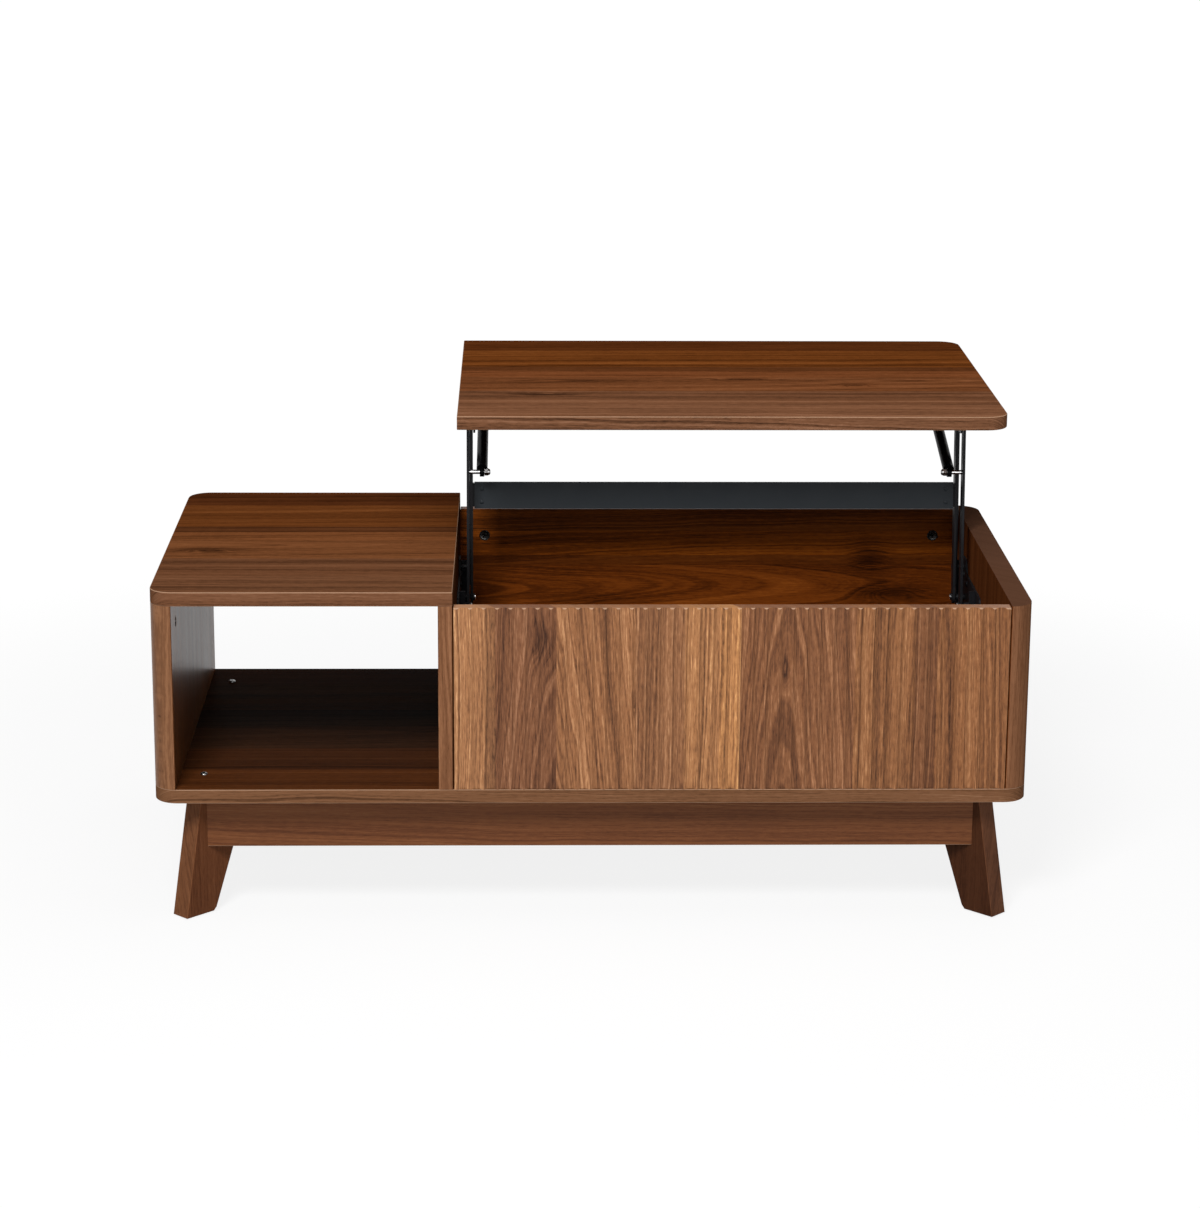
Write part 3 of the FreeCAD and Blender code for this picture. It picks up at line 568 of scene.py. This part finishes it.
# %% A head with its recess
def add_head(bm, profile, recess, place, out, turn=0.0, sides=24):
    """A head that stands on a face at place and looks along out. profile is (radius, height) from the foot up;
    recess is (kind, size, depth), or None for a plain top."""
    earlier = set(bm.verts)
    radius, height = profile[0]
    verts = bmesh.ops.create_circle(bm, cap_ends=True, segments=sides, radius=radius)["verts"]
    bmesh.ops.translate(bm, verts=verts, vec=(0.0, 0.0, height))
    for wider, higher in profile[1:]:
        drawn = bmesh.ops.extrude_edge_only(bm, edges=ring_of(verts))["geom"]
        verts = [g for g in drawn if isinstance(g, bmesh.types.BMVert)]
        bmesh.ops.scale(bm, verts=verts, vec=(wider / radius, wider / radius, 1.0))
        bmesh.ops.translate(bm, verts=verts, vec=(0.0, 0.0, higher - height))
        radius, height = wider, higher
    if recess is None:
        bmesh.ops.contextual_create(bm, geom=ring_of(verts))
    else:
        kind, size, depth = recess
        pushed = recess_faces(bm, kind, size, height)
        outline = [e for e in dict.fromkeys(e for f in pushed for e in f.edges) if len(e.link_faces) == 1]
        bmesh.ops.bridge_loops(bm, edges=ring_of(verts) + outline)
        drawn = bmesh.ops.extrude_face_region(bm, geom=pushed)["geom"]
        floor_verts = [g for g in drawn if isinstance(g, bmesh.types.BMVert)]
        bmesh.ops.translate(bm, verts=floor_verts, vec=(0.0, 0.0, -depth))
        bmesh.ops.delete(bm, geom=[f for f in pushed if f.is_valid], context="FACES")
    stand = Matrix.Translation(place) @ Vector(out).to_track_quat("Z", "Y").to_matrix().to_4x4()
    made = [v for v in bm.verts if v not in earlier]
    bmesh.ops.transform(bm, matrix=stand @ Matrix.Rotation(turn, 4, "Z"), verts=made)


print("heads are drawn by", add_head.__name__)


# %% From a bmesh to a piece of the table
sharp_over = math.radians(32.0)


def piece(name, bm, finish, body):
    """Turns a bmesh into a closed, outward-facing object that rides on a body."""
    bmesh.ops.recalc_face_normals(bm, faces=bm.faces)
    open_edges = sum(len(e.link_faces) != 2 for e in bm.edges)
    mesh = bpy.data.meshes.new(name)
    bm.to_mesh(mesh)
    bm.free()
    mesh.shade_smooth()
    mesh.set_sharp_from_angle(angle=sharp_over)
    mesh.materials.append(finish)
    made = bpy.data.objects.new(name, mesh)
    bpy.context.scene.collection.objects.link(made)
    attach(made, body)
    print(name, "faces:", len(mesh.polygons), "open edges:", open_edges)
    return made


print("edges over", round(math.degrees(sharp_over)), "degrees stay sharp")

# %% [markdown]
# ## Cam locks
# A cam lock is a zinc disc sunk in a round pocket. It has a rim, a dished face and a cross for the screwdriver. The
# discs of the frame are plain, so detailed ones stand for them, in the same pockets.

# %% Cam lock discs
side_low, side_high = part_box("side_panel_left")
part_low, part_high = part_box("partition")
back_low, back_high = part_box("back_panel")
right_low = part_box("side_panel_right")[0]
cam_edge, cam_level, cam_end = 0.034, 0.040, 0.056    # in from a wall's top, a panel's top, and a wall's ends
cam_profile = [(0.0075, -0.0123), (0.0075, -0.0007), (0.0071, -0.0003), (0.0062, -0.0003), (0.0058, -0.0009),
               (0.0048, -0.0011)]
cam_cross = ("cross", 0.0034, 0.0030)
first_turn, next_turn = 0.35, 0.9    # no two cams stop at the same angle
wall_z = side_high.z - cam_edge
panel_z = side_high.z - cam_level
cams = []
for y in (side_low.y + cam_end, side_high.y - cam_end):
    cams += [((side_high.x, y, wall_z), (1, 0, 0)), ((part_low.x, y, wall_z), (-1, 0, 0))]
for y, way in ((front_high.y, 1), (back_low.y, -1)):
    cams += [((x, y, panel_z), (0, way, 0)) for x in (part_high.x + cam_edge, right_low.x - cam_edge)]
bm = bmesh.new()
for count, (place, out) in enumerate(cams):
    add_head(bm, cam_profile, cam_cross, place, out, turn=first_turn + count * next_turn)
cam_discs = piece("cam_lock_discs", bm, cam_zinc_with_painted_shade, "cabinet")
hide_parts("cam_locks")

# %% [markdown]
# ## Bolts and screws
# A domed bolt with a hexagon socket holds each leg through the bottom panel. The brackets and rails of the linkage
# take pan-head screws, which are a shallow dome with a cross.

# %% Leg bolts
dome = [(0.0048, 0.0), (0.0048, 0.0004), (0.0044, 0.0012), (0.0036, 0.0019), (0.0029, 0.0022)]
socket = ("hexagon", 0.0018, 0.0014)
bolt_x, bolt_y = 0.4925, 0.2101
bm = bmesh.new()
for x in (-bolt_x, bolt_x):
    for y in (-bolt_y, bolt_y):
        add_head(bm, dome, socket, (x, y, floor_high.z), (0, 0, 1), turn=x + y)
piece("leg_bolts", bm, bolt_zinc_with_painted_shade, "cabinet")

# %% Screws of the base brackets, and of the rails under the lift top
pan = [(0.0040, 0.0), (0.0040, 0.0007), (0.0036, 0.0015), (0.0028, 0.0020)]
cross = ("cross", 0.0018, 0.0011)
joints = {j["name"]: Vector(j["pos_m"]) for j in frame["joints"] if "pos_m" in j}
rear_pivot = joints["lift"]
steel_t, flange_in = 0.0025, 0.012
bracket_holes = ((-0.125, 0.016), (-0.070, 0.016), (-0.070, -0.010), (0.009, 0.030), (-0.022, 0.024))
rail_holes = (0.030, 0.130, 0.230, 0.310)
bracket_turn, rail_turn = 40.0, 30.0    # each screw stops at an angle of its own, by its place
for name, way in (("left", 1), ("right", -1)):
    wall_x = part_high.x if way > 0 else right_low.x
    bm = bmesh.new()
    for dy, dz in bracket_holes:
        place = (wall_x + way * steel_t, rear_pivot.y + dy, rear_pivot.z + dz)
        add_head(bm, pan, cross, place, (way, 0, 0), turn=dy * bracket_turn)
    piece(f"bracket_screws_{name}", bm, linkage_black, "cabinet")
    rail_low, rail_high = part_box(f"top_rail_{name}")
    rail_x = (rail_high.x - flange_in) if way > 0 else (rail_low.x + flange_in)
    bm = bmesh.new()
    for dy in rail_holes:
        place = (rail_x, rail_low.y + dy, rail_high.z - steel_t)
        add_head(bm, pan, cross, place, (0, 0, -1), turn=dy * rail_turn)
    piece(f"rail_screws_{name}", bm, zinc, "lift_top")

# %% [markdown]
# ## Channels of the rear arms
# Each rear arm is stiffened by a pressed channel, welded to its outer face where the front arm never comes. It could
# be a box with rounded ends by a Boolean, but a circle pulled apart at its middle already is one. Its top edge is
# bevelled, as pressed steel is never sharp there.

# %% A plate with round ends
channel_sides = 26    # corners of the two round ends together
soft_share = 0.3      # how much of a plate's height its bevel takes


def add_channel(bm, start, end, half_width, height, out):
    """A long plate with round ends and a soft top edge, which stands out from a face between two points."""
    earlier = set(bm.verts)
    run = Vector(end) - Vector(start)
    verts = bmesh.ops.create_circle(bm, cap_ends=True, segments=channel_sides, radius=half_width)["verts"]
    for vert in verts:
        vert.co.x += math.copysign(run.length / 2.0, vert.co.x)
    top = bmesh.ops.extrude_face_region(bm, geom=faces_of(verts))["geom"]
    top_verts = [g for g in top if isinstance(g, bmesh.types.BMVert)]
    bmesh.ops.translate(bm, verts=top_verts, vec=(0.0, 0.0, height))
    bmesh.ops.bevel(bm, geom=ring_of(top_verts), offset=height * soft_share, offset_type="OFFSET", segments=2,
                    profile=0.5, affect="EDGES", material=-1)
    x_dir, z_dir = run.normalized(), Vector(out)
    turn = Matrix((x_dir, z_dir.cross(x_dir), z_dir)).transposed().to_4x4()
    middle_of_run = (Vector(start) + Vector(end)) / 2.0
    made = [v for v in bm.verts if v not in earlier]
    bmesh.ops.transform(bm, matrix=Matrix.Translation(middle_of_run) @ turn, verts=made)


print("plates have", channel_sides, "corners")

# %% Channels on the rear arms
channel_from, channel_to = 0.022, 0.228    # along the arm, from its lower pivot
channel_half, channel_height, channel_aside = 0.0065, 0.0026, 0.002
arm_up = joints["gas_tube_left_pivot"] - joints["front_arm_left_pivot"]
arm_up = Vector((0.0, arm_up.y, arm_up.z)).normalized()
arm_out = Vector((0.0, -arm_up.z, arm_up.y))
for name, way in (("left", 1), ("right", -1)):
    arm_low, arm_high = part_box(f"rear_arm_{name}")
    outer_x = arm_low.x if way > 0 else arm_high.x
    foot = Vector((outer_x, rear_pivot.y, rear_pivot.z)) - arm_out * channel_aside
    bm = bmesh.new()
    add_channel(bm, foot + arm_up * channel_from, foot + arm_up * channel_to, channel_half, channel_height,
                (-way, 0, 0))
    piece(f"arm_channel_{name}", bm, linkage_black, "rear_arms")

# %% [markdown]
# ## Filler beads
# Panels that slide between two walls keep a hair of play, and light shows through it. A fitter runs a bead of brown
# filler down each inside corner of the back panel, which is how such a joint is closed. A bead is a very small plate
# with round ends, so the same helper makes it.

# %% Beads in the back panel's corners
bead_half, bead_height, bead_clear = 0.0009, 0.0014, 0.00003
bm = bmesh.new()
for x, way in ((part_high.x, 1), (right_low.x, -1)):
    bead_x = x + way * (bead_half + bead_clear)
    foot = (bead_x, back_low.y, floor_high.z + bead_half)
    head = (bead_x, back_low.y, back_high.z - bead_half)
    add_channel(bm, foot, head, bead_half, bead_height, (0, -1, 0))
piece("filler_beads", bm, back_walnut, "cabinet")

# %% [markdown]
# ## Rivets, caps and collars
# The cross plate is riveted to its two cleats. Domed caps finish the lower pivots and the gas springs' pins, and each
# rod leaves its tube through a rolled collar. All are heads without a recess, so each needs only its profile.

# %% Rivets of the cross plate
plate_low, plate_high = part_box("cross_plate")
arm_half, plate_along, rivet_step, rivet_in = 0.009, 0.141, 0.009, 0.010
rivet = [(0.0030, 0.0), (0.0029, 0.0006), (0.0021, 0.0012), (0.0010, 0.0014)]
bm = bmesh.new()
for x in (plate_low.x + rivet_in, plate_high.x - rivet_in):
    for step in (-rivet_step, rivet_step):
        centre = Vector((x, rear_pivot.y, rear_pivot.z)) + arm_up * (plate_along + step) + arm_out * arm_half
        add_head(bm, rivet, None, centre, arm_out, sides=16)
piece("plate_rivets", bm, plate_black, "rear_arms")

# %% Caps of the lower pivots
pin_cap = [(0.0042, 0.0), (0.0042, 0.0004), (0.0036, 0.0010), (0.0024, 0.0014), (0.0010, 0.0015)]
head_reach = 0.0023
for name, way in (("left", 1), ("right", -1)):
    bm = bmesh.new()
    for bar, pivot in (("rear", joints["lift"]), ("front", joints[f"front_arm_{name}_pivot"])):
        arm_low, arm_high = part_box(f"{bar}_arm_{name}")
        inner_x = (arm_high.x if way > 0 else arm_low.x) + way * head_reach
        add_head(bm, pin_cap, None, (inner_x, pivot.y, pivot.z), (way, 0, 0), sides=16)
    piece(f"pivot_caps_{name}", bm, zinc, "cabinet")

# %% Cap nuts and rod collars of the gas springs
cap = [(0.0044, 0.0), (0.0044, 0.0006), (0.0039, 0.0019), (0.0027, 0.0029), (0.0012, 0.0033)]
collar = [(0.0068, 0.0), (0.0068, 0.0006), (0.0058, 0.0016), (0.0044, 0.0020)]
rod_slide = next(Vector(j["axis"]) for j in frame["joints"] if j["name"] == "gas_rod_left_slide")
tube_end = 0.158
for name, way in (("left", 1), ("right", -1)):
    pin_low, pin_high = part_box(f"gas_pin_{name}")
    inner_x = pin_high.x if way > 0 else pin_low.x
    pivot = joints[f"gas_tube_{name}_pivot"]
    bm = bmesh.new()
    add_head(bm, cap, None, (inner_x, pivot.y, pivot.z), (way, 0, 0))
    piece(f"gas_cap_nut_{name}", bm, zinc, f"front_arm_{name}")
    bm = bmesh.new()
    add_head(bm, collar, None, pivot + rod_slide * tube_end, rod_slide)
    piece(f"rod_collar_{name}", bm, tube_black, f"gas_tube_{name}")

# %% [markdown]
# ## Floor and backdrop
# The table stands on a plain white floor. A white floor lit at a fair level comes out light grey, and more light
# would bleach the wood. So the camera, and mirrors and glass, see the floor mostly as white of its own, with a
# share of the lit surface that keeps the shadow. Far out the floor is all white, and so is the background.

# %% Floor
floor_half = 40.0
floor_mesh = bpy.data.meshes.new("floor")
bm = bmesh.new()
bmesh.ops.create_grid(bm, x_segments=1, y_segments=1, size=floor_half)
bm.to_mesh(floor_mesh)
bm.free()
floor = bpy.data.objects.new("floor", floor_mesh)
bpy.context.scene.collection.objects.link(floor)
print("floor reaches", floor_half, "m each way")


# %% White to the eye
def seen_directly(finish):
    """1 for the camera, mirrors and glass, 0 for the light that the floor or sky throws on the table."""
    def ray(kind):
        return finish.node("ShaderNodeLightPath", out=kind)
    return ray("Is Camera Ray").at_least(ray("Is Glossy Ray")).at_least(ray("Is Transmission Ray"))


white_share = 0.84               # how much of the floor near the table is white of its own
fade_from, fade_to = 0.8, 2.0    # from here outwards it turns all white
paper = Finish("white floor")
paper.set(Base_Color=rgb((0.80, 0.80, 0.80)), Roughness=0.9, Specular_IOR_Level=0.0)
white = paper.node("ShaderNodeEmission", None, {"Color": rgb((1.0, 1.0, 1.0)), "Strength": 1.02})
from_middle = paper.node("ShaderNodeVectorMath", {"operation": "LENGTH"}, {0: paper.place()}, out="Value")
share = seen_directly(paper) * (white_share + from_middle.fade(fade_from, fade_to) * (1.0 - white_share))
lit = Value(paper, paper.shader.outputs[0])
both = paper.node("ShaderNodeMixShader", None, {0: share, 1: lit, 2: white})
paper.tree.links.new(both.socket, paper.tree.nodes["Material Output"].inputs["Surface"])
floor_mesh.materials.append(paper.material)
print("floor near the table is", white_share, "white of its own")


# %% World
class Sky(Finish):
    """A world's nodes, added in the same way as a material's."""

    def __init__(self, made):
        self.tree = made.node_tree


sky_light = 0.07
world = bpy.data.worlds.new("studio")
bpy.context.scene.world = world
world.use_nodes = True
sky = Sky(world)
plain = sky.tree.nodes["Background"]
sky.feed(plain.inputs["Color"], rgb((1.0, 1.0, 1.0)))
sky.feed(plain.inputs["Strength"], sky_light)
dim = Value(sky, plain.outputs[0])
bright = sky.node("ShaderNodeBackground", None, {"Color": rgb((1.0, 1.0, 1.0)), "Strength": 1.0})
blend = sky.node("ShaderNodeMixShader", None, {0: seen_directly(sky), 1: dim, 2: bright})
sky.tree.links.new(blend.socket, sky.tree.nodes["World Output"].inputs["Surface"])
print("world is white to the eye and lights the table at", sky_light)

# %% [markdown]
# ## Lights
# One softbox stands high in front, a little to the left. It is small enough to leave the shadow of the fixed top in
# the cubby and large enough to blur it. A wide weak panel in front opens the fronts, a weak one overhead lifts the
# tops, and the floor's own bounce does the rest.


# %% Softboxes
def softbox(name, place, aim, size, watts):
    """A soft rectangle of light at a place, turned towards another."""
    lamp = bpy.data.lights.new(name, "AREA")
    lamp.shape = "RECTANGLE"
    lamp.size, lamp.size_y = size
    lamp.energy = watts
    made = bpy.data.objects.new(name, lamp)
    made.location = place
    made.rotation_mode = "QUATERNION"
    made.rotation_quaternion = (Vector(aim) - Vector(place)).to_track_quat("-Z", "Y")
    bpy.context.scene.collection.objects.link(made)


middle = (0.0, 0.0, 0.35)    # of the table
softbox("key", (-1.0, -3.5, 3.6), middle, (1.5, 1.3), 215.0)
softbox("front fill", (0.9, -4.6, 1.5), middle, (3.2, 1.6), 42.0)
softbox("top fill", (0.5, 0.0, 2.8), middle, (2.4, 1.6), 26.0)

# %% [markdown]
# ## Camera
# The table is seen from above its front, a little left of its middle, through a long lens, which keeps its
# uprights nearly parallel. The camera looks down at it, so no lens shift is needed.

# %% Camera
lens = bpy.data.cameras.new("camera")
lens.lens = 97.54
lens.sensor_width = 36.0
camera = bpy.data.objects.new("camera", lens)
yaw, pitch, roll = math.radians(1.4035), math.radians(14.938), math.radians(0.354)
ahead = Vector((math.sin(yaw) * math.cos(pitch), math.cos(yaw) * math.cos(pitch), -math.sin(pitch)))
camera.location = (-0.0870, -4.1912, 1.4665)
camera.rotation_mode = "QUATERNION"
camera.rotation_quaternion = ahead.to_track_quat("-Z", "Y") @ Quaternion((0, 0, 1), roll)
bpy.context.scene.collection.objects.link(camera)
bpy.context.scene.camera = camera
bpy.context.scene.view_settings.view_transform = "Standard"
print("camera stands", round(-camera.location.y, 2), "m in front, lens", round(lens.lens, 2), "mm")
